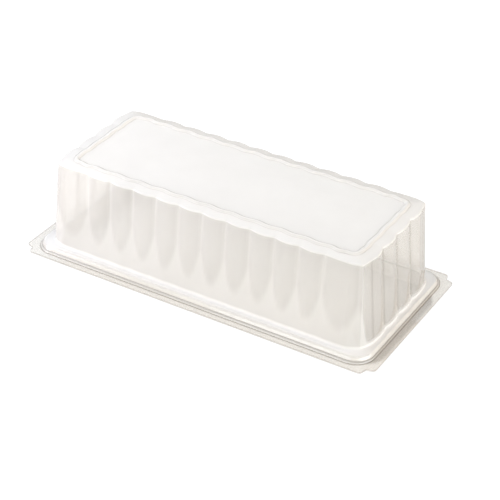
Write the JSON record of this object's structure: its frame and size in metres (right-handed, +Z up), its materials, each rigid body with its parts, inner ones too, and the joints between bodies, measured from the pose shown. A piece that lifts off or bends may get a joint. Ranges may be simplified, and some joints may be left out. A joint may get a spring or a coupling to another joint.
{
  "type": "humidity dome tray",
  "caption": "Long seedling tray with a clear fluted humidity dome that lifts straight off; shallow white base, notched die-cut flanges and a nested rim bead.",
  "frame": {"origin": "centre of the tray's flat underside, on the surface it rests on", "axes": "+X along the length, +Y across the width, +Z up, the way the dome lifts"},
  "size_m": [0.26, 0.124, 0.0702],
  "materials": {
    "tray_sheet": "satin white thermoformed sheet",
    "dome_sheet": "clear, slightly hazy thermoformed sheet"
  },
  "bodies": {
    "tray": {"tray": "tray_sheet"},
    "dome": {"dome": "dome_sheet"}
  },
  "joints": [
    {"name": "dome_lift", "type": "slide", "parent": "tray", "child": "dome", "axis": [0, 0, 1], "range_m": [0, 0.09]}
  ]
}
